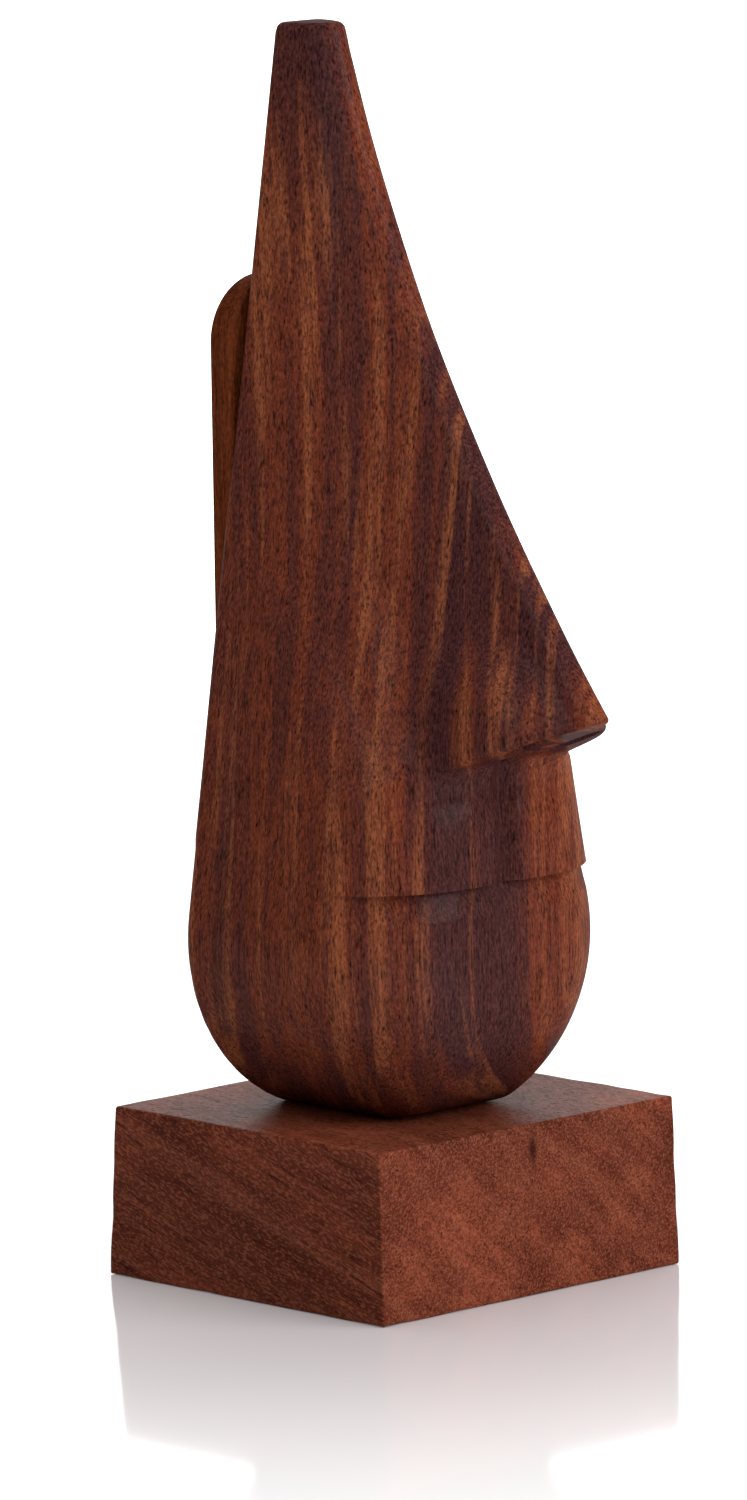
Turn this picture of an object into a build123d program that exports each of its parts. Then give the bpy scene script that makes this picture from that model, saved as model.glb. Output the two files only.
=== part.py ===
from build123d import *
from math import acos, atan2, cos, hypot, radians, sin, sqrt, tan
import os

# Eyeglasses display stand: a carved head on a square block. Millimetres.
# The origin is the centre of the base's underside. +Z is up and the nose points along -Y.

# ---- Driving dimensions ----
overall_height = 155.3
base_side = 50.0
base_height = 21.3
base_corner_radius = 0.6
base_edge_radius = 0.4

head_back_y = 12.5
head_depth = 52.5
head_width = 46.0
head_top_width = 8.0
head_top_depth = 8.0

# The head is laid out in thirds: the nose fills the upper two, the mouth and chin the lowest one.
head_height = overall_height - base_height
face_third = head_height / 3
nose_base_z = base_height + face_third
mouth_z = nose_base_z - face_third / 3
cheek_fade_z = base_height + 0.78 * head_height

# The nose stands out by a third of the head's depth, and its underside rises at 20 degrees.
nose_reach = head_depth / 3
face_y = head_back_y - head_depth + nose_reach
tip_y = head_back_y - head_depth
underside_angle = 20.0
tip_z = nose_base_z + nose_reach * tan(radians(underside_angle))
ridge_top_y = head_back_y - head_top_depth
ridge_width = head_width / 16
ridge_sag = head_depth / 10

# The nose's foot is two fifths of the head's width, and the small features are shares of it.
nose_width = head_width * 2 / 5
philtrum_width = nose_width / 4
philtrum_depth = philtrum_width / 3
nostril_spacing = nose_width / 2
nostril_width = nose_width / 6
nostril_length = nose_reach / 2
nostril_depth = nostril_width / 2

# The mouth is a notch a twelfth of the lower face high, and the chin stands back by half its depth.
mouth_height = face_third / 12
mouth_depth = mouth_height / 2
chin_setback = mouth_depth / 2
chin_radius = face_third / 3
jaw_corner_radius = head_width / 3
chin_flat_drop = head_width / 30

plate_top_width = 24.0
plate_foot_width = 27.2
plate_thickness = 3.9
plate_bottom_z = base_height + 8.0
plate_top_z = 124.3
plate_arch_radius = 8.3
plate_edge_radius = 0.6

screw_y = 6.0
screw_length = 38.0
screw_shank_radius = 2.25
screw_head_radius = 4.5
screw_head_height = 2.6
screw_recess = 0.5
screw_tip_length = 5.0
screw_slot_width = 1.1
screw_slot_depth = 1.2
screw_clearance_radius = 2.5
head_clearance = 0.1

dowel_y = -4.0
dowel_radius = 3.0
dowel_bottom_z = 11.5
dowel_top_z = 31.5
dowel_chamfer = 0.6
dowel_end_gap = 0.5

os.makedirs("parts", exist_ok=True)


# ---- Shared shape of the head ----
# The front outline is a round jaw whose arc runs straight on into the tapers up to the top.
jaw_radius = head_width / 2
jaw_center_z = base_height + jaw_radius - chin_flat_drop
chin_flat_half_width = sqrt(jaw_radius**2 - (jaw_radius - chin_flat_drop) ** 2)
taper_height = overall_height - jaw_center_z
taper_reach = hypot(taper_height, head_top_width / 2)
taper_angle = atan2(taper_height, head_top_width / 2) - acos(jaw_radius / taper_reach)
taper_start = (jaw_radius * cos(taper_angle), jaw_center_z + jaw_radius * sin(taper_angle))


def half_width(z):
    """Half the head's width at height z, on the straight taper above the jaw."""
    return (jaw_radius - (z - jaw_center_z) * sin(taper_angle)) / cos(taper_angle)


def ridge_y(z):
    """Where the nose's ridge stands at height z: a shallow hollow curve from top to tip."""
    drop = (overall_height - z) / (overall_height - tip_z)
    return ridge_top_y + drop * (tip_y - ridge_top_y) + 4 * ridge_sag * drop * (1 - drop)


def side_depth(z):
    """How far the head's sides run straight forward from its back at height z."""
    drop = (overall_height - z) / head_height
    return head_top_depth / 2 + drop * head_top_depth


# ---- Nose: a wedge that spreads from the narrow ridge to the sides of the head ----
nose_levels = 6
with BuildPart() as nose:
    for level in range(nose_levels):
        z = nose_base_z + level * (overall_height - nose_base_z) / (nose_levels - 1)
        with BuildSketch(Plane.XY.offset(z)):
            with BuildLine():
                Polyline(
                    (half_width(z), head_back_y),
                    (half_width(z), head_back_y - side_depth(z)),
                    (ridge_width / 2, ridge_y(z)),
                    (-ridge_width / 2, ridge_y(z)),
                    (-half_width(z), head_back_y - side_depth(z)),
                    (-half_width(z), head_back_y),
                    close=True,
                )
            make_face()
    loft()
    # The underside is a plane that rises from the foot of the face to the tip.
    with BuildSketch(Plane.YZ):
        with BuildLine():
            Polyline(
                (face_y, nose_base_z),
                (face_y - 2 * nose_reach, nose_base_z + 2 * (tip_z - nose_base_z)),
                (face_y - 2 * nose_reach, nose_base_z - face_third),
                (face_y, nose_base_z - face_third),
                close=True,
            )
        make_face()
    extrude(amount=head_width, both=True, mode=Mode.SUBTRACT)

# ---- Head: jaw and cheeks, with the nose on them, cut to the front outline ----
with BuildPart() as head_carving:
    chin_y = face_y + chin_setback
    with BuildSketch(Plane.YZ):
        with BuildLine():
            Polyline(
                (chin_y + chin_radius, base_height),
                (head_back_y, base_height),
                (head_back_y, cheek_fade_z),
                (face_y, nose_base_z),
                (face_y, mouth_z),
                (face_y + mouth_depth, mouth_z),
                (chin_y, mouth_z - mouth_height),
                (chin_y, base_height + chin_radius),
            )
            TangentArc(
                (chin_y, base_height + chin_radius), (chin_y + chin_radius, base_height), tangent=(0, -1)
            )
        make_face()
    extrude(amount=head_width, both=True)
    # Seen from above, the jaw has round front corners.
    with BuildSketch(Plane.XY.offset(base_height)):
        with BuildLine():
            Polyline(
                (-jaw_radius, face_y + jaw_corner_radius),
                (-jaw_radius, head_back_y),
                (jaw_radius, head_back_y),
                (jaw_radius, face_y + jaw_corner_radius),
            )
            jaw_front_x = jaw_radius - jaw_corner_radius
            TangentArc(
                (jaw_radius, face_y + jaw_corner_radius), (jaw_front_x, face_y), tangent=(0, -1)
            )
            Line((jaw_front_x, face_y), (-jaw_front_x, face_y))
            TangentArc(
                (-jaw_front_x, face_y), (-jaw_radius, face_y + jaw_corner_radius), tangent=(-1, 0)
            )
        make_face()
    extrude(amount=head_height, mode=Mode.INTERSECT)
    add(nose.part)
    # Front outline: a round jaw and a straight taper to the narrow top.
    with BuildSketch(Plane.XZ):
        with BuildLine():
            for side in (-1, 1):
                Line((side * head_top_width / 2, overall_height), (side * taper_start[0], taper_start[1]))
                ThreePointArc(
                    (side * taper_start[0], taper_start[1]),
                    (side * jaw_radius * cos(radians(30)), jaw_center_z - jaw_radius * sin(radians(30))),
                    (side * chin_flat_half_width, base_height),
                )
            Line((-chin_flat_half_width, base_height), (chin_flat_half_width, base_height))
            Line((-head_top_width / 2, overall_height), (head_top_width / 2, overall_height))
        make_face()
    extrude(amount=2 * head_depth, both=True, mode=Mode.INTERSECT)
    # Philtrum: a V-groove down the upper lip.
    with BuildSketch(Plane.XY.offset(mouth_z)):
        with BuildLine():
            Polyline(
                (-philtrum_width / 2, face_y),
                (0, face_y + philtrum_depth),
                (philtrum_width / 2, face_y),
                close=True,
            )
        make_face()
    extrude(amount=nose_base_z - mouth_z, mode=Mode.SUBTRACT)
    # Nostrils: two shallow oval hollows in the underside of the nose.
    underside = Plane(
        origin=(0, face_y - nose_reach / 2, (nose_base_z + tip_z) / 2),
        x_dir=(1, 0, 0),
        z_dir=(0, -sin(radians(underside_angle)), -cos(radians(underside_angle))),
    )
    with BuildSketch(underside):
        with Locations((-nostril_spacing / 2, 0), (nostril_spacing / 2, 0)):
            Ellipse(nostril_width / 2, nostril_length / 2)
    extrude(amount=-nostril_depth, mode=Mode.SUBTRACT)
    # Holes for the screw's shank and the dowel, up from the chin's flat foot.
    with BuildSketch(Plane.XY.offset(base_height)):
        with Locations((0, screw_y)):
            Circle(screw_shank_radius)
    extrude(amount=screw_recess + screw_length - base_height + dowel_end_gap, mode=Mode.SUBTRACT)
    with BuildSketch(Plane.XY.offset(base_height)):
        with Locations((0, dowel_y)):
            Circle(dowel_radius)
    extrude(amount=dowel_top_z - base_height + dowel_end_gap, mode=Mode.SUBTRACT)

# ---- Base block ----
with BuildPart() as base_block:
    Box(base_side, base_side, base_height, align=(Align.CENTER, Align.CENTER, Align.MIN))
    fillet(base_block.edges().filter_by(Axis.Z), radius=base_corner_radius)
    fillet(base_block.faces().sort_by(Axis.Z)[-1].edges(), radius=base_edge_radius)
    fillet(base_block.faces().sort_by(Axis.Z)[0].edges(), radius=base_edge_radius)
    with Locations(Location((0, screw_y, 0), (180, 0, 0))):
        CounterSinkHole(
            radius=screw_clearance_radius,
            counter_sink_radius=screw_head_radius + screw_recess + head_clearance,
            depth=base_height,
        )
    with BuildSketch(Plane.XY.offset(base_height)):
        with Locations((0, dowel_y)):
            Circle(dowel_radius)
    extrude(amount=dowel_bottom_z - dowel_end_gap - base_height, mode=Mode.SUBTRACT)

# ---- Back plate: an arch-topped board, a little wider at its foot, against the back of the head ----
with BuildPart() as back_plate:
    with BuildSketch(Plane.XZ.offset(-head_back_y)) as plate_outline:
        with BuildLine():
            Polyline(
                (-plate_foot_width / 2, plate_bottom_z),
                (plate_foot_width / 2, plate_bottom_z),
                (plate_top_width / 2, plate_top_z),
                (-plate_top_width / 2, plate_top_z),
                close=True,
            )
        make_face()
        fillet(plate_outline.vertices().group_by(Axis.Y)[-1], radius=plate_arch_radius)
    extrude(amount=-plate_thickness)
    for end in (0, -1):
        fillet(back_plate.faces().sort_by(Axis.Y)[end].edges(), radius=plate_edge_radius)

# ---- Fixing screw: a countersunk wood screw, driven up from below ----
with BuildPart() as fixing_screw:
    with BuildSketch(Plane.YZ):
        with BuildLine():
            Polyline(
                (screw_y, screw_recess),
                (screw_y + screw_head_radius, screw_recess),
                (screw_y + screw_shank_radius, screw_recess + screw_head_height),
                (screw_y + screw_shank_radius, screw_recess + screw_length - screw_tip_length),
                (screw_y, screw_recess + screw_length),
                close=True,
            )
        make_face()
    revolve(axis=Axis((0, screw_y, 0), (0, 0, 1)))
    with BuildSketch(Plane.XY.offset(screw_recess)):
        with Locations((0, screw_y)):
            Rectangle(1.3 * screw_head_radius, screw_slot_width)
            Rectangle(screw_slot_width, 1.3 * screw_head_radius)
    extrude(amount=screw_slot_depth, mode=Mode.SUBTRACT)

# ---- Locating dowel: keeps the head square to the base ----
with BuildPart() as locating_dowel:
    with BuildSketch(Plane.XY.offset(dowel_bottom_z)):
        with Locations((0, dowel_y)):
            Circle(dowel_radius)
    extrude(amount=dowel_top_z - dowel_bottom_z)
    chamfer(locating_dowel.edges().filter_by(GeomType.CIRCLE), length=dowel_chamfer)

# ---- Labels and files ----
base_block.part.label = "base_block"
head_carving.part.label = "head_carving"
back_plate.part.label = "back_plate"
fixing_screw.part.label = "fixing_screw"
locating_dowel.part.label = "locating_dowel"
for piece in (base_block, head_carving, back_plate, fixing_screw, locating_dowel):
    export_step(piece.part, f"parts/{piece.part.label}.step")
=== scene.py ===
import bmesh
import bpy
import math
import numpy as np
from mathutils import Matrix, Vector, noise


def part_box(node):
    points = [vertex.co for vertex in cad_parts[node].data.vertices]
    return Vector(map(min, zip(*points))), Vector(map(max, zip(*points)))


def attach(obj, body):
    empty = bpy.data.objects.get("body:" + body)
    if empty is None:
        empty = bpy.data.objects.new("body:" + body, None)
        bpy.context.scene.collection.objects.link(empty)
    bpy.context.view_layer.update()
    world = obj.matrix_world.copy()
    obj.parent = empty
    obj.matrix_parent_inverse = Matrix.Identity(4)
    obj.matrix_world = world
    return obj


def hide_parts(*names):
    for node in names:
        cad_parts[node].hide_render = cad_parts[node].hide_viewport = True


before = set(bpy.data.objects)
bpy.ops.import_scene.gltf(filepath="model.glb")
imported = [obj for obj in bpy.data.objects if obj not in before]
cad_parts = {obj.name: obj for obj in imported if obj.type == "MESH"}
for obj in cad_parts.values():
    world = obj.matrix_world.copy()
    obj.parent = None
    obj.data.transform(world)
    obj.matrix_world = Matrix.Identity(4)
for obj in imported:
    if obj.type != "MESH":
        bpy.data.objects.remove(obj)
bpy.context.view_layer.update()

MM = 0.001


# ---------------------------------------------------------------- sizes, from the frame
def box_mm(node):
    """A node's lowest and highest corners in millimetres."""
    low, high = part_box(node)
    return np.array(low) / MM, np.array(high) / MM


base_low, base_high = box_mm("base_block")
head_low, head_high = box_mm("head_carving")

FOOT_Z = head_low[2]
TOP_Z = head_high[2]
BACK_Y = head_high[1]
TIP_Y = head_low[1]
JAW_RADIUS = (head_high[0] - head_low[0]) / 2
HEAD_HEIGHT = TOP_Z - FOOT_Z
HEAD_DEPTH = BACK_Y - TIP_Y

# The face is laid out in thirds of the head's height and depth.
FACE_THIRD = HEAD_HEIGHT / 3
NOSE_BASE_Z = FOOT_Z + FACE_THIRD
MOUTH_Z = NOSE_BASE_Z - FACE_THIRD / 3
CHEEK_FADE_Z = FOOT_Z + 0.78 * HEAD_HEIGHT
NOSE_REACH = HEAD_DEPTH / 3
FACE_Y = TIP_Y + NOSE_REACH
UNDERSIDE = math.radians(20)
TIP_Z = NOSE_BASE_Z + NOSE_REACH * math.tan(UNDERSIDE)
TOP_HALF_WIDTH = 4.0
TOP_DEPTH = 8.0
RIDGE_TOP_Y = BACK_Y - TOP_DEPTH
JAW_WIDTH = 2 * JAW_RADIUS
RIDGE_HALF_WIDTH = JAW_WIDTH / 32
RIDGE_SAG = HEAD_DEPTH / 10
JAW_Z = FOOT_Z + JAW_RADIUS - JAW_WIDTH / 30
JAW_CORNER = JAW_WIDTH / 3
CHIN_ROUND = FACE_THIRD / 3
LIP_HEIGHT = FACE_THIRD / 12
LIP_DEPTH = LIP_HEIGHT / 2
CHIN_SETBACK = LIP_DEPTH / 2
NOSE_WIDTH = JAW_WIDTH * 2 / 5
PHILTRUM_HALF_WIDTH = NOSE_WIDTH / 8
PHILTRUM_DEPTH = NOSE_WIDTH / 12
WING_X = NOSE_WIDTH / 3
WING_SIZE = (NOSE_WIDTH / 5, NOSE_REACH / 2, NOSE_REACH / 2.5)
NOSTRIL_X = NOSE_WIDTH / 4
NOSTRIL_SIZE = (NOSE_WIDTH / 12, NOSE_REACH / 4)
NOSTRIL_DEPTH = NOSE_WIDTH / 12

# Radii of the head's rounded edges, and how softly its forms run into each other.
CHEEK_ROUND = 5.0
RIDGE_ROUND = 1.0
RIDGE_LEAN = 0.86  # turns a distance along Y into one square to the leaning ridge
UNDERSIDE_ROUND = 0.7
NOSE_RIM_ROUND = 2.5
BACK_ROUND = 2.0
TOP_ROUND = 1.0
WING_BLEND = 4.0
NOSE_BLEND = (0.05, 4.0)  # fillet between nose and cheek at the outline, and how much larger inside it
NOSE_BLEND_FADE = (0.5, 5.0)  # where inside the outline that growth starts, and over what width
MOUTH_END_Y = FACE_Y + 15
MOUTH_FADE = 11
WING_SET_BACK = 1
WING_RISE = 4

# Slight unevenness left by hand carving.
CARVING_DEPTH = 0.14
CARVING_LENGTH = 16.0


# ---------------------------------------------------------------- distance helpers
def round_and(a, b, r):
    """Both solids at once, with the edge between them rounded to radius r."""
    corner = np.hypot(np.maximum(r + a, 0), np.maximum(r + b, 0))
    return np.minimum(-r, np.maximum(a, b)) + corner


def round_or(a, b, r):
    """Either solid, with the inner corner between them filled to radius r."""
    corner = np.hypot(np.maximum(r - a, 0), np.maximum(r - b, 0))
    return np.maximum(r, np.minimum(a, b)) - corner


def ease(t):
    t = np.clip(t, 0, 1)
    return t * t * (3 - 2 * t)


# ---------------------------------------------------------------- shape of the head
TAPER_REACH = math.hypot(TOP_Z - JAW_Z, TOP_HALF_WIDTH)
TAPER = math.atan2(TOP_Z - JAW_Z, TOP_HALF_WIDTH) - math.acos(JAW_RADIUS / TAPER_REACH)


def half_width(z):
    return (JAW_RADIUS - (z - JAW_Z) * math.sin(TAPER)) / math.cos(TAPER)


def ridge_y(z):
    drop = (TOP_Z - z) / (TOP_Z - TIP_Z)
    return RIDGE_TOP_Y + drop * (TIP_Y - RIDGE_TOP_Y) + 4 * RIDGE_SAG * drop * (1 - drop)


def side_depth(z):
    return TOP_DEPTH / 2 + (TOP_Z - z) / HEAD_HEIGHT * TOP_DEPTH


def outline(x, z):
    """Front outline: a round jaw with straight tapers, tangent to it, up to the narrow top."""
    side, rise = np.abs(x), z - JAW_Z
    taper = side * math.cos(TAPER) + rise * math.sin(TAPER) - JAW_RADIUS
    return np.where(rise * math.cos(TAPER) > side * math.sin(TAPER), taper, np.hypot(x, rise) - JAW_RADIUS)


def jaw(x, y, z):
    lean = math.atan2(BACK_Y - FACE_Y, CHEEK_FADE_Z - NOSE_BASE_Z)
    cheek = (FACE_Y - y) * math.cos(lean) + (z - NOSE_BASE_Z) * math.sin(lean)
    front = round_and(FACE_Y - y, cheek, CHEEK_ROUND)
    below = MOUTH_Z - z
    notch = CHIN_SETBACK + (LIP_DEPTH - CHIN_SETBACK) * np.clip(1 - below / LIP_HEIGHT, 0, 1)
    reach = ease((MOUTH_END_Y - y) / MOUTH_FADE) ** 2
    front = front + np.where(below > 0, notch, 0) * reach
    chin = round_and(front, FOOT_Z - z, CHIN_ROUND)
    return np.maximum(chin, round_and(front, outline(x, z), JAW_CORNER))


def nose(x, y, z):
    run_y = BACK_Y - side_depth(z) - ridge_y(z)
    run_x = half_width(z) - RIDGE_HALF_WIDTH
    side = ((np.abs(x) - RIDGE_HALF_WIDTH) * run_y - (y - ridge_y(z)) * run_x) / np.hypot(run_x, run_y)
    front = (ridge_y(z) - y) * RIDGE_LEAN
    under = -(y - FACE_Y) * math.sin(UNDERSIDE) - (z - NOSE_BASE_Z) * math.cos(UNDERSIDE)
    wedge = round_and(side, front, RIDGE_ROUND)
    wing = np.sqrt(
        ((np.abs(x) - WING_X) / WING_SIZE[0]) ** 2
        + ((y - FACE_Y + WING_SET_BACK) / WING_SIZE[1]) ** 2
        + ((z - NOSE_BASE_Z - WING_RISE) / WING_SIZE[2]) ** 2
    )
    wing = (wing - 1) * WING_SIZE[0]
    return round_and(round_or(wedge, wing, WING_BLEND), under, UNDERSIDE_ROUND)


def head(x, y, z):
    """Negative inside the head, and close to the distance in millimetres near its surface."""
    edge = outline(x, z)
    # The nose flows into the cheek, but not past the outline.
    fill = NOSE_BLEND[0] + NOSE_BLEND[1] * ease((-edge - NOSE_BLEND_FADE[0]) / NOSE_BLEND_FADE[1])
    solid = round_or(jaw(x, y, z), round_and(nose(x, y, z), edge, NOSE_RIM_ROUND), fill)
    groove = PHILTRUM_DEPTH * np.clip(1 - np.abs(x) / PHILTRUM_HALF_WIDTH, 0, 1)
    lip = (z > MOUTH_Z) & (z < NOSE_BASE_Z + 1) & (y < 0)
    solid = solid + np.where(lip, groove, 0)
    solid = round_and(solid, y - BACK_Y, BACK_ROUND)
    solid = round_and(solid, z - TOP_Z, TOP_ROUND)
    return np.maximum(solid, FOOT_Z - z)


AROUND = 272  # points in each ring of the head's mesh
CAP_RINGS = 22
HALVINGS = 34
FAR_OUT = 75


def solve(inside, outside):
    """Where the line from inside to outside leaves the head, by halving it again and again."""
    a, b = inside.copy(), outside.copy()
    for _ in range(HALVINGS):
        m = (a + b) / 2
        within = (head(m[..., 0], m[..., 1], m[..., 2]) < 0)[..., None]
        a = np.where(within, m, a)
        b = np.where(within, b, m)
    return (a + b) / 2


def axis_y(z):
    """The rings' centre line, which leans back with the head."""
    return -2.0 + (z - FOOT_Z) / HEAD_HEIGHT * (BACK_Y - TOP_DEPTH / 2 + 2.0)


def ring_levels():
    """Heights of the rings, closer together at the mouth and under the nose."""
    low, high = FOOT_Z + 4.0, TOP_Z - 1.2
    steps = [
        (low, 28),
        (MOUTH_Z - LIP_HEIGHT - 0.2, 16),
        (MOUTH_Z - 0.02, 4),
        (MOUTH_Z + 0.3, 22),
        (NOSE_BASE_Z - 1, 96),
        (TIP_Z + 1, 36),
        (TIP_Z + 14, 100),
        (high, 0),
    ]
    parts = [np.linspace(a, b, count, endpoint=False) for (a, count), (b, _) in zip(steps, steps[1:])]
    parts.append([high])
    return np.concatenate(parts)


def head_mesh():
    t = np.arange(AROUND) / AROUND * 2 * math.pi
    angle = t - 0.55 * np.sin(t)  # 0 points forward, where the columns are closest together
    step = np.stack([np.sin(angle), -np.cos(angle)], -1)
    rings = []
    for z in ring_levels():
        centre = np.tile([0.0, axis_y(z), z], (AROUND, 1))
        out = centre + np.concatenate([step * FAR_OUT, np.zeros((AROUND, 1))], -1)
        rings.append(solve(centre, out))

    def cap(ring, up):
        made = []
        middle = np.array([0.0, ring[:, 1].mean(), ring[0, 2]])
        for k in range(1, CAP_RINGS):
            inside = middle + (ring - middle) * (1 - k / CAP_RINGS)
            made.append(solve(inside, inside + np.array([0, 0, up * 6.0])))
        return made

    bottom = cap(rings[0], -1)[::-1]
    top = cap(rings[-1], 1)
    rings = bottom + rings + top
    points = np.concatenate(rings)

    # Nostrils: two shallow hollows pressed into the underside of the nose.
    inward = np.array([0, math.sin(UNDERSIDE), math.cos(UNDERSIDE)])
    middle_y = FACE_Y - NOSE_REACH / 2 + 1
    away = np.hypot(
        (np.abs(points[:, 0]) - NOSTRIL_X) / NOSTRIL_SIZE[0],
        (points[:, 1] - middle_y) / NOSTRIL_SIZE[1],
    )
    plane = (points - np.array([0, FACE_Y, NOSE_BASE_Z])) @ inward
    under = np.abs(plane) < 0.5
    depth = NOSTRIL_DEPTH * np.clip(1 - away**2, 0, 1) ** 1.5 * under
    points = points + depth[:, None] * inward

    # The carving's unevenness fades out where the head meets its neighbours.
    middle = np.stack([np.zeros(len(points)), axis_y(points[:, 2]), points[:, 2]], -1)
    outward = points - middle
    outward[:, 2] = 0
    outward /= np.maximum(np.linalg.norm(outward, axis=1), 1e-6)[:, None]
    wave = np.array([noise.noise(Vector(p / CARVING_LENGTH)) for p in points])
    calm = ease((points[:, 2] - FOOT_Z) / 6) * ease((TOP_Z - points[:, 2]) / 4)
    calm = calm * ease((BACK_Y - 0.5 - points[:, 1]) / 3)
    points = points + outward * (CARVING_DEPTH * (wave - 0.5) * calm)[:, None]

    count = len(rings)
    faces = []
    for i in range(count - 1):
        for j in range(AROUND):
            k = (j + 1) % AROUND
            faces.append((i * AROUND + j, i * AROUND + k, (i + 1) * AROUND + k, (i + 1) * AROUND + j))
    faces.append(tuple(reversed(range(AROUND))))
    faces.append(tuple((count - 1) * AROUND + j for j in range(AROUND)))
    mesh = bpy.data.meshes.new("carved_head")
    mesh.from_pydata((points * MM).tolist(), [], faces)
    mesh.validate()
    mesh.update()
    mesh.shade_smooth()
    return mesh


# ---------------------------------------------------------------- base block
EDGE_WEAR = (0.2, 0.45)  # smallest edge radius, and how much more it may be where it is worn
SIDE_DIP = 0.05
# How far each upright corner is set in at the foot and at the top, as the sides are slightly untrue.
CORNER_INSET = {(-1, -1): (0.0, 0.15), (-1, 1): (-0.4, 0.5), (1, -1): (0.0, 0.25), (1, 1): (0.0, 0.1)}


def grid_lines(low, high, cells):
    """Positions along an edge, close together near both ends, where the block is rounded."""
    near = np.array([0, 0.12, 0.25, 0.4, 0.6, 0.85, 1.2])
    return np.concatenate([low + near, np.linspace(low + 1.8, high - 1.8, cells), (high - near)[::-1]])


def block_point(p):
    """A point of the sharp box, moved in to the worn edges and the slightly untrue sides."""
    low, high = base_low, base_high
    x, y, up = (p - low) / (high - low)
    inset = 0.0
    for (sx, sy), (foot, top) in CORNER_INSET.items():
        here = foot + (top - foot) * up
        inset += here * (x if sx > 0 else 1 - x) * (y if sy > 0 else 1 - y)
    r = EDGE_WEAR[0] + EDGE_WEAR[1] * max(0.0, noise.noise(Vector(p / 5.0)) + 0.25)
    core = np.clip(p, low + r, high - r)
    away = p - core
    length = np.linalg.norm(away)
    q = core + away / length * r if length > 1e-9 else p
    dip = SIDE_DIP * (0.5 + 0.5 * noise.noise(Vector(p / 14.0)))
    middle = (low + high) / 2
    side = (q - middle) / (high - low) * 2
    side[2] = 0
    return q - (inset + dip) * side


def block_mesh():
    lines = [grid_lines(base_low[k], base_high[k], cells) for k, cells in ((0, 30), (1, 30), (2, 14))]
    found, points, faces = {}, [], []

    def vertex(p):
        key = tuple(np.round(p, 4))
        if key not in found:
            found[key] = len(points)
            points.append(block_point(np.array(p, float)) * MM)
        return found[key]

    for fixed in range(3):
        u, v = (fixed + 1) % 3, (fixed + 2) % 3
        for end, flip in ((base_low[fixed], True), (base_high[fixed], False)):
            for i in range(len(lines[u]) - 1):
                for j in range(len(lines[v]) - 1):
                    corners = []
                    for a, b in ((i, j), (i + 1, j), (i + 1, j + 1), (i, j + 1)):
                        p = [0.0, 0.0, 0.0]
                        p[fixed], p[u], p[v] = end, lines[u][a], lines[v][b]
                        corners.append(vertex(p))
                    faces.append(corners[::-1] if flip else corners)
    mesh = bpy.data.meshes.new("worn_block")
    mesh.from_pydata([tuple(p) for p in points], [], faces)
    mesh.update()
    mesh.shade_smooth()
    return mesh


def turned(name, middle_y, profile, segments=48):
    """A closed solid turned about the vertical line at X = 0, from (radius, height) pairs."""
    points, faces = [], []
    for radius, height in profile:
        for k in range(segments):
            a = 2 * math.pi * k / segments
            points.append((radius * math.cos(a) * MM, (middle_y + radius * math.sin(a)) * MM, height * MM))
    for i in range(len(profile) - 1):
        for k in range(segments):
            m = (k + 1) % segments
            low, high = i * segments, (i + 1) * segments
            faces.append((low + k, low + m, high + m, high + k))
    faces.append(tuple(reversed(range(segments))))
    faces.append(tuple((len(profile) - 1) * segments + k for k in range(segments)))
    mesh = bpy.data.meshes.new(name)
    mesh.from_pydata(points, [], faces)
    thing = bpy.data.objects.new(name, mesh)
    bpy.context.collection.objects.link(thing)
    return thing


SCREW_HEAD_GAP = 0.6
SHANK_HOLE_RADIUS = 2.5
DOWEL_END_GAP = 0.5


def drilled_block():
    """The base block with its countersunk screw hole and, in its top, its dowel hole."""
    block = bpy.data.objects.new("worn_block", block_mesh())
    bpy.context.collection.objects.link(block)
    screw_low, screw_high = box_mm("fixing_screw")
    dowel_low, dowel_high = box_mm("locating_dowel")
    screw_y = (screw_low[1] + screw_high[1]) / 2
    dowel_y = (dowel_low[1] + dowel_high[1]) / 2
    sink_radius = (screw_high[0] - screw_low[0]) / 2 + SCREW_HEAD_GAP
    above = base_high[2] + 1
    sink_depth = sink_radius - SHANK_HOLE_RADIUS + 0.4
    flare = (sink_radius - SHANK_HOLE_RADIUS) / sink_depth
    sink = [(sink_radius + flare, -1), (SHANK_HOLE_RADIUS, sink_depth)]
    cutters = [
        turned("sink", screw_y, sink + [(SHANK_HOLE_RADIUS, above)]),
        turned("socket", dowel_y, [(dowel_high[0], dowel_low[2] - DOWEL_END_GAP), (dowel_high[0], above)]),
    ]
    for cutter in cutters:
        cut = block.modifiers.new("cut", "BOOLEAN")
        cut.operation = "DIFFERENCE"
        cut.solver = "EXACT"
        cut.object = cutter
    bpy.context.view_layer.update()
    whole = block.evaluated_get(bpy.context.evaluated_depsgraph_get())
    mesh = bpy.data.meshes.new_from_object(whole)
    block.modifiers.clear()
    block.data = mesh
    for cutter in cutters:
        bpy.data.objects.remove(cutter)
    # Slivers left by the cuts are merged away, and the many-sided faces at the holes' rims split up.
    shape = bmesh.new()
    shape.from_mesh(mesh)
    bmesh.ops.remove_doubles(shape, verts=shape.verts[:], dist=0.00002)
    bmesh.ops.dissolve_degenerate(shape, dist=0.00001, edges=shape.edges[:])
    bmesh.ops.triangulate(shape, faces=[face for face in shape.faces if len(face.verts) > 4])
    bmesh.ops.recalc_face_normals(shape, faces=shape.faces[:])
    shape.to_mesh(mesh)
    shape.free()
    mesh.set_sharp_from_angle(angle=math.radians(35))
    return block


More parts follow.
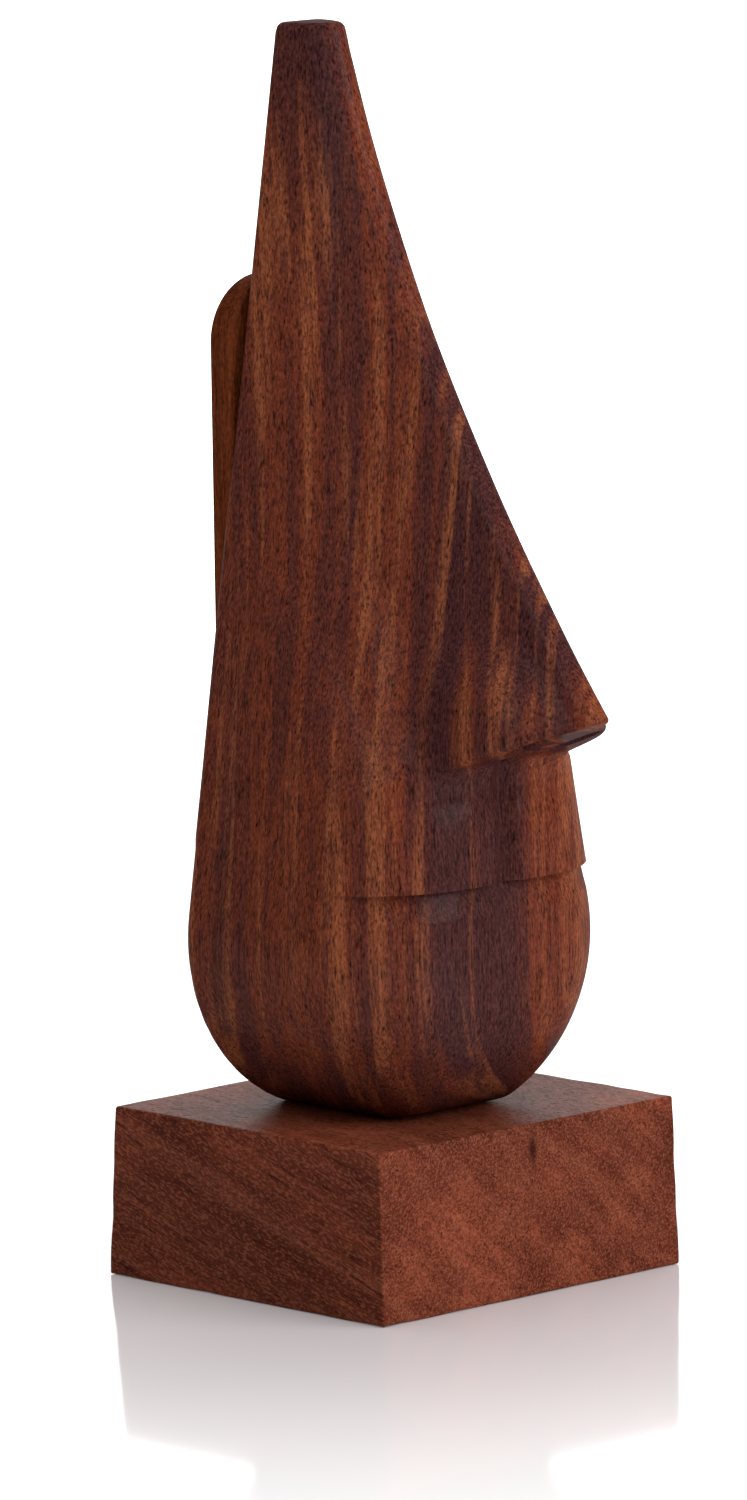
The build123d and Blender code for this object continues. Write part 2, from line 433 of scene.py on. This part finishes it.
# ---------------------------------------------------------------- materials
class Nodes:
    """Short names for making a material's nodes and links."""

    def __init__(self, name):
        self.material = bpy.data.materials.new(name)
        self.material.use_nodes = True
        self.tree = self.material.node_tree
        self.shader = self.tree.nodes["Principled BSDF"]

    def add(self, kind, **values):
        node = self.tree.nodes.new(kind)
        for key, value in values.items():
            setattr(node, key, value)
        return node

    def link(self, a, b):
        self.tree.links.new(a, b)

    def noise(self, where, stretch, detail=3.0, rough=0.5):
        """Noise whose cells measure about 1/stretch metres along X, Y and Z."""
        place = self.add("ShaderNodeMapping")
        place.inputs["Scale"].default_value = stretch
        self.link(where, place.inputs["Vector"])
        cells = self.add("ShaderNodeTexNoise")
        cells.inputs["Scale"].default_value = 1.0
        cells.inputs["Detail"].default_value = detail
        cells.inputs["Roughness"].default_value = rough
        self.link(place.outputs[0], cells.inputs["Vector"])
        return cells.outputs["Fac"]

    def ramp(self, value, low, high):
        """0 under low, 1 over high."""
        node = self.add("ShaderNodeMapRange", interpolation_type="SMOOTHSTEP")
        node.inputs["From Min"].default_value = low
        node.inputs["From Max"].default_value = high
        self.link(value, node.inputs["Value"])
        return node.outputs[0]

    def mix(self, amount, a, b):
        node = self.add("ShaderNodeMix", data_type="RGBA")
        for value, socket in ((amount, 0), (a, 6), (b, 7)):
            if isinstance(value, bpy.types.NodeSocket):
                self.link(value, node.inputs[socket])
            else:
                node.inputs[socket].default_value = value
        return node.outputs[2]

    def maths(self, how, a, b):
        node = self.add("ShaderNodeMath", operation=how)
        for value, socket in ((a, 0), (b, 1)):
            if isinstance(value, bpy.types.NodeSocket):
                self.link(value, node.inputs[socket])
            else:
                node.inputs[socket].default_value = value
        return node.outputs[0]


def wood(
    name, turn, colours, shift, soft=0.0, coat=0.07, shine=0.0, pores=0.5, speckle=0.1, streaks=0.7,
    clouds=0.0, flecks=0.0, marks=(),
):
    """Varnished rosewood. After the turn, Z runs along the grain and X across the growth layers.

    soft blurs the layers, coat and shine set the varnish, and flecks vary only the brightness.
    The other shares say how strongly each kind of figure shows. Each mark is a dark spot, given by
    its centre, its radii in millimetres and its strength.
    """
    dark, mid, light = (colour + (1.0,) for colour in colours)
    n = Nodes(name)
    move = n.add("ShaderNodeMapping")
    move.inputs["Location"].default_value = shift
    move.inputs["Rotation"].default_value = tuple(math.radians(t) for t in turn)
    n.link(n.add("ShaderNodeTexCoord").outputs["Object"], move.inputs["Vector"])
    sway = n.noise(move.outputs[0], (18, 18, 7), 1.0)
    bend = n.add("ShaderNodeCombineXYZ")
    n.link(n.maths("MULTIPLY", sway, 0.012), bend.inputs["X"])
    bent = n.add("ShaderNodeVectorMath", operation="ADD")
    n.link(move.outputs[0], bent.inputs[0])
    n.link(bend.outputs[0], bent.inputs[1])
    where = bent.outputs[0]

    broad = n.ramp(n.noise(where, (105, 32, 3), 3.0, 0.5), 0.43 - soft, 0.60 + soft)
    cloud = n.ramp(n.noise(where, (70, 70, 45), 2.0, 0.5), 0.42, 0.60)
    narrow = n.noise(where, (420, 90, 6), 3.0, 0.55)
    fibre = n.noise(where, (1500, 1100, 60), 3.0, 0.6)
    hair = n.noise(where, (4200, 4200, 380), 1.0)
    grit = n.noise(where, (3600, 3600, 1500), 2.0, 0.6)
    pore = n.ramp(n.noise(where, (2700, 2700, 260), 1.0), 0.61, 0.72)

    deep = tuple(c * 0.3 for c in dark[:3]) + (1.0,)
    colour = n.mix(broad, mid, dark)
    colour = n.mix(n.maths("MULTIPLY", cloud, clouds), colour, dark)
    colour = n.mix(n.maths("MULTIPLY", n.ramp(narrow, 0.50 - soft, 0.66 + soft), streaks), colour, light)
    colour = n.mix(n.maths("MULTIPLY", n.ramp(narrow, 0.48, 0.36), 0.85 * streaks), colour, dark)
    colour = n.mix(n.maths("MULTIPLY", n.ramp(fibre, 0.45, 0.66), 0.5), colour, dark)
    colour = n.mix(n.maths("MULTIPLY", n.ramp(hair, 0.5, 0.68), 0.35), colour, deep)
    colour = n.mix(n.maths("MULTIPLY", n.ramp(grit, 0.50, 0.62), speckle), colour, light)
    colour = n.mix(n.maths("MULTIPLY", n.ramp(grit, 0.48, 0.38), speckle), colour, dark)
    colour = n.mix(n.maths("MULTIPLY", pore, pores), colour, deep)
    for centre, radii, strength in marks:
        near = n.add("ShaderNodeMapping", vector_type="TEXTURE")
        near.inputs["Location"].default_value = tuple(c * MM for c in centre)
        near.inputs["Scale"].default_value = tuple(r * MM for r in radii)
        n.link(n.add("ShaderNodeTexCoord").outputs["Object"], near.inputs["Vector"])
        away = n.add("ShaderNodeVectorMath", operation="LENGTH")
        n.link(near.outputs[0], away.inputs[0])
        ragged = n.maths("ADD", away.outputs["Value"], n.maths("MULTIPLY", narrow, 0.8))
        colour = n.mix(n.maths("MULTIPLY", n.ramp(ragged, 1.5, 0.5), strength), colour, deep)
    # Flecks brighten and darken the colour around its mean, as both noises lie around a half.
    fleck = n.maths("MULTIPLY", n.maths("ADD", grit, hair), 4 * flecks)
    flecked = n.add("ShaderNodeVectorMath", operation="SCALE")
    n.link(colour, flecked.inputs[0])
    n.link(n.maths("ADD", fleck, 1 - 4 * flecks), flecked.inputs["Scale"])
    n.link(flecked.outputs[0], n.shader.inputs["Base Color"])

    rough = n.maths("MULTIPLY_ADD", fibre, 0.22)
    rough.node.inputs[2].default_value = 0.27
    n.link(n.maths("ADD", rough, n.maths("MULTIPLY", pore, 0.15)), n.shader.inputs["Roughness"])
    height = n.maths("SUBTRACT", n.maths("MULTIPLY", n.maths("ADD", fibre, hair), 0.4), pore)
    bump = n.add("ShaderNodeBump")
    bump.inputs["Strength"].default_value = 0.4
    bump.inputs["Distance"].default_value = 0.0001
    n.link(height, bump.inputs["Height"])
    n.link(bump.outputs[0], n.shader.inputs["Normal"])
    n.shader.inputs["Specular IOR Level"].default_value = shine
    n.shader.inputs["Coat Weight"].default_value = coat
    n.shader.inputs["Coat Roughness"].default_value = 0.2
    return n.material


def steel(name):
    n = Nodes(name)
    where = n.add("ShaderNodeTexCoord").outputs["Object"]
    scratch = n.noise(where, (3000, 300, 3000), 3.0)
    n.link(n.mix(scratch, (0.42, 0.42, 0.43, 1), (0.66, 0.66, 0.67, 1)), n.shader.inputs["Base Color"])
    n.link(n.maths("MULTIPLY", scratch, 0.6), n.shader.inputs["Roughness"])
    n.shader.inputs["Metallic"].default_value = 1.0
    return n.material


def dress(node, material):
    """Gives a carried-over CAD node its material."""
    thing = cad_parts[node]
    thing.data.materials.clear()
    thing.data.materials.append(material)


UPRIGHT = (0, 0, 55)  # grain up the piece, layers cut obliquely by its sides
LYING = (73, 0, 50)  # grain from front to back, sloping down towards the front

# Each wood's colours are its dark layers, its body and its light streaks.
HEAD_COLOURS = ((0.050, 0.0162, 0.0160), (0.138, 0.0310, 0.0150), (0.250, 0.074, 0.030))
BASE_COLOURS = ((0.058, 0.0116, 0.0062), (0.220, 0.0500, 0.0240), (0.350, 0.110, 0.058))
PLATE_COLOURS = ((0.045, 0.0105, 0.0040), (0.124, 0.0280, 0.0085), (0.230, 0.062, 0.019))
DOWEL_COLOURS = ((0.36, 0.20, 0.10), (0.50, 0.32, 0.18), (0.62, 0.42, 0.26))

head_wood = wood(
    "head_rosewood", UPRIGHT, HEAD_COLOURS, (0.025, 0.375, 0.229), speckle=0.04, flecks=0.55
)
base_wood = wood(
    "base_rosewood", LYING, BASE_COLOURS, (0.3, 0.1, 0.2),
    soft=0.12, coat=0.022, shine=0.015, pores=0.6, speckle=0.36, streaks=0.28, clouds=0.6,
    marks=[((0.6, -25.0, 18.2), (0.9, 2.0, 2.8), 0.85)],
)
plate_wood = wood(
    "plate_rosewood", UPRIGHT, PLATE_COLOURS, (0.7, 0.4, 0.1), coat=0.03, speckle=0.05, flecks=0.4
)
dowel_wood = wood("dowel_beech", UPRIGHT, DOWEL_COLOURS, (0.2, 0.9, 0.3), coat=0.0, pores=0.3)

# ---------------------------------------------------------------- pieces
carved_head = bpy.data.objects.new("carved_head", head_mesh())
bpy.context.collection.objects.link(carved_head)
carved_head.data.materials.append(head_wood)
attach(carved_head, "root")
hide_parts("head_carving")

worn_block = drilled_block()
worn_block.data.materials.clear()
worn_block.data.materials.append(base_wood)
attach(worn_block, "root")
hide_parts("base_block")

dress("back_plate", plate_wood)
dress("locating_dowel", dowel_wood)
dress("fixing_screw", steel("screw_zinc"))

# ---------------------------------------------------------------- floor, light, camera
# The floor is polished. Its colour is darker round the block than further out: painted shade, like a soft
# contact shadow, which also makes the block's reflection show more.
n = Nodes("pale_floor")
spread = n.add("ShaderNodeVectorMath", operation="LENGTH")
n.link(n.add("ShaderNodeTexCoord").outputs["Object"], spread.inputs[0])
# painted shade: the floor's darker colour close to the block
painted_shade_near_block = (0.600, 0.557, 0.568, 1)
further_out = (0.955, 0.947, 0.949, 1)
pale = n.mix(n.ramp(spread.outputs["Value"], 0.03, 0.145), painted_shade_near_block, further_out)
n.link(pale, n.shader.inputs["Base Color"])
n.shader.inputs["Roughness"].default_value = 0.08
n.shader.inputs["IOR"].default_value = 2.1
n.shader.inputs["Emission Color"].default_value = (1, 1, 1, 1)
# Far from the block the camera sees the floor fade into the white behind it.
fade = n.add("ShaderNodeMapRange", interpolation_type="SMOOTHSTEP")
for socket, value in (("From Min", 0.14), ("From Max", 0.8), ("To Min", 0.10), ("To Max", 1.0)):
    fade.inputs[socket].default_value = value
n.link(spread.outputs["Value"], fade.inputs["Value"])
camera_only = n.add("ShaderNodeLightPath").outputs["Is Camera Ray"]
seen = n.maths("MAXIMUM", n.maths("MULTIPLY", fade.outputs[0], camera_only), 0.10)
n.link(seen, n.shader.inputs["Emission Strength"])
floor_mesh = bpy.data.meshes.new("floor")
SIDE = 6.0
DROP = -0.00005  # keeps the floor just clear of the block's underside
corners = [(-SIDE, -SIDE, DROP), (SIDE, -SIDE, DROP), (SIDE, SIDE, DROP), (-SIDE, SIDE, DROP)]
floor_mesh.from_pydata(corners, [], [(0, 1, 2, 3)])
floor_mesh.materials.append(n.material)
floor = bpy.data.objects.new("floor", floor_mesh)
bpy.context.collection.objects.link(floor)

# The studio is white behind the object and dimmer elsewhere, so that the varnish keeps its depth.
# The camera itself sees plain white.
world = bpy.data.worlds.new("studio")
world.use_nodes = True
sky = world.node_tree.nodes
join = world.node_tree.links.new
direction = sky.new("ShaderNodeTexCoord")
toward = sky.new("ShaderNodeVectorMath")
toward.operation = "DOT_PRODUCT"
toward.inputs[1].default_value = (0.67, 0.74, 0.0)
join(direction.outputs["Generated"], toward.inputs[0])
glow = sky.new("ShaderNodeMapRange")
for socket, value in (("From Min", 0.45), ("From Max", 0.92), ("To Min", 0.12), ("To Max", 1.6)):
    glow.inputs[socket].default_value = value
join(toward.outputs["Value"], glow.inputs["Value"])
path = sky.new("ShaderNodeLightPath")
pick = sky.new("ShaderNodeMix")
join(path.outputs["Is Camera Ray"], pick.inputs[0])
join(glow.outputs[0], pick.inputs[2])
pick.inputs[3].default_value = 1.05
join(pick.outputs[0], sky["Background"].inputs["Strength"])
sky["Background"].inputs["Color"].default_value = (1, 1, 1, 1)
bpy.context.scene.world = world
bpy.context.scene.view_settings.view_transform = "Standard"


def area_light(name, place, size, power):
    data = bpy.data.lights.new(name, "AREA")
    data.size = size
    data.energy = power
    lamp = bpy.data.objects.new(name, data)
    lamp.location = place
    lamp.rotation_euler = (Vector((0, 0, 0.07)) - Vector(place)).to_track_quat("-Z", "Y").to_euler()
    bpy.context.collection.objects.link(lamp)
    return lamp


area_light("key", (0.30, -0.80, 0.40), 0.6, 6.8)
area_light("fill", (-0.5, -0.25, 0.45), 0.3, 0.7)
overhead = area_light("overhead", (0.0, 0.0, 1.6), 2.2, 30.0)
overhead.visible_glossy = False

AZIMUTH = math.radians(-42.1)
ELEVATION = math.radians(8.4)
ROLL = math.radians(1.6)
DISTANCE = 1.1319
LENS = 219.6
target = Vector((-0.0008, 0.0007, 0.4215 * TOP_Z * MM))
back = Vector((
    math.sin(AZIMUTH) * math.cos(ELEVATION),
    -math.cos(AZIMUTH) * math.cos(ELEVATION),
    math.sin(ELEVATION),
))
camera_data = bpy.data.cameras.new("camera")
camera_data.lens = LENS
camera_data.clip_start = 0.05
camera = bpy.data.objects.new("camera", camera_data)
camera.location = target + back * DISTANCE
turn = (-back).to_track_quat("-Z", "Y").to_matrix() @ Matrix.Rotation(-ROLL, 3, "Z")
camera.rotation_euler = turn.to_euler()
bpy.context.collection.objects.link(camera)
bpy.context.scene.camera = camera
